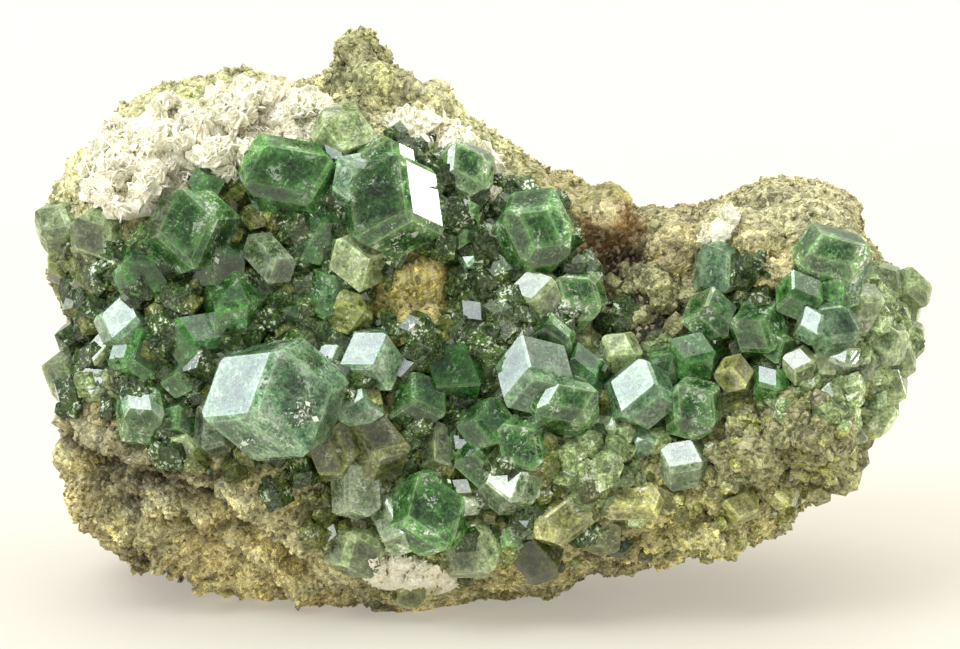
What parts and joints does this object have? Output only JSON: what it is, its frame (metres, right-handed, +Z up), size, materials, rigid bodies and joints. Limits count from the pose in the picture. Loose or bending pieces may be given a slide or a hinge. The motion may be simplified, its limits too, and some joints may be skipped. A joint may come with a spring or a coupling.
{
  "type": "garnet crystal specimen",
  "caption": "Hand specimen of see-through green garnet crystals grown over one face of granular skarn rock, with cream calcite crusts.",
  "frame": {"origin": "middle of the specimen's box at the level of the flat break that it rests on", "axes": "+X to the right as seen from the crystals, +Y into the rock, away from the crystals, +Z up; the crystal face leans back by 15 degrees"},
  "size_m": [0.0908, 0.0462, 0.0581],
  "materials": {
    "rock": "matte",
    "garnet": "polished",
    "calcite": "matte"
  },
  "bodies": {
    "root": {"matrix": "rock", "garnet_cluster": "garnet", "garnet_1": "garnet", "garnet_2": "garnet", "garnet_3": "garnet", "garnet_4": "garnet", "garnet_5": "garnet", "garnet_6": "garnet", "garnet_7": "garnet", "garnet_8": "garnet", "garnet_9": "garnet", "calcite_upper": "calcite", "calcite_rind": "calcite", "calcite_lower": "calcite", "calcite_ridge": "calcite"}
  },
  "joints": []
}
